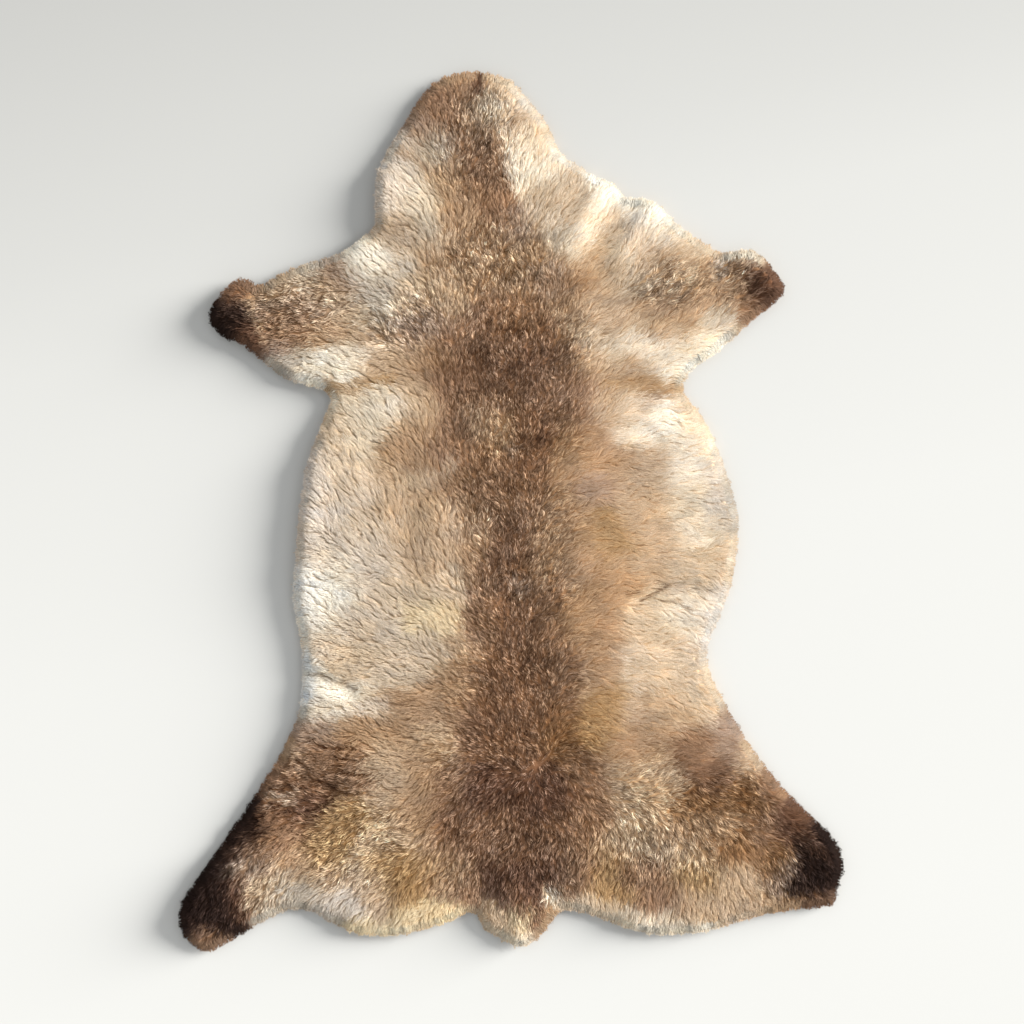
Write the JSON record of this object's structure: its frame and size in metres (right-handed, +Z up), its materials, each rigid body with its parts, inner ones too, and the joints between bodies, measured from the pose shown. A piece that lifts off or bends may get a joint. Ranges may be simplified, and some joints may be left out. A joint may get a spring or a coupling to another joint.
{
  "type": "sheepskin",
  "caption": "Whole shorn sheepskin lying wool side up, with neck, forelegs, flanks, hind legs and tail in one pelt, as a rug or a throw.",
  "frame": {"origin": "on the floor, under the middle of the skin's outline", "axes": "+Y from the tail to the neck, +Z up out of the wool, +X to the right as seen from above"},
  "size_m": [0.8016, 1.0598, 0.0289],
  "materials": {
    "wool": "matt shorn wool, cream to dark brown"
  },
  "bodies": {
    "root": {"sheepskin": "wool"}
  },
  "joints": []
}
